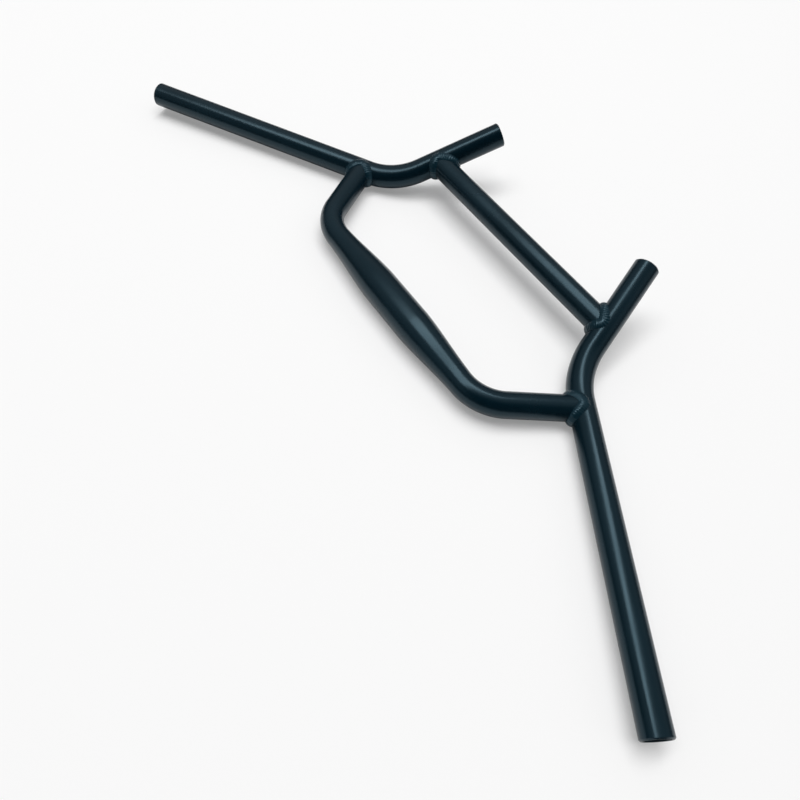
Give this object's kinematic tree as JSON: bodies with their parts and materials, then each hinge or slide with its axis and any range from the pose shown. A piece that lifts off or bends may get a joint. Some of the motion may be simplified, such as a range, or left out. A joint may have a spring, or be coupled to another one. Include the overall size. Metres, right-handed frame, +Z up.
{
  "type": "bicycle handlebar",
  "caption": "Welded bicycle handlebar with swept-back grips, short forward horns, a looped clamp tube that swells at its middle, and a crossbar.",
  "frame": {"origin": "middle of the seat that a stem clamps", "axes": "+X along the clamp seat to the rider's right grip, +Y forward to the horns, +Z up from the surface that the bar lies on"},
  "size_m": [0.74, 0.2557, 0.0656],
  "materials": {
    "tube_finish": "satin black with a faint blue-green tint",
    "weld_bead": "satin black over a rippled weld"
  },
  "bodies": {
    "root": {"left_bar_tube": "tube_finish", "right_bar_tube": "tube_finish", "clamp_tube": "tube_finish", "crossbar": "tube_finish", "left_leg_weld": "weld_bead", "right_leg_weld": "weld_bead", "left_crossbar_weld": "weld_bead", "right_crossbar_weld": "weld_bead"}
  },
  "joints": []
}
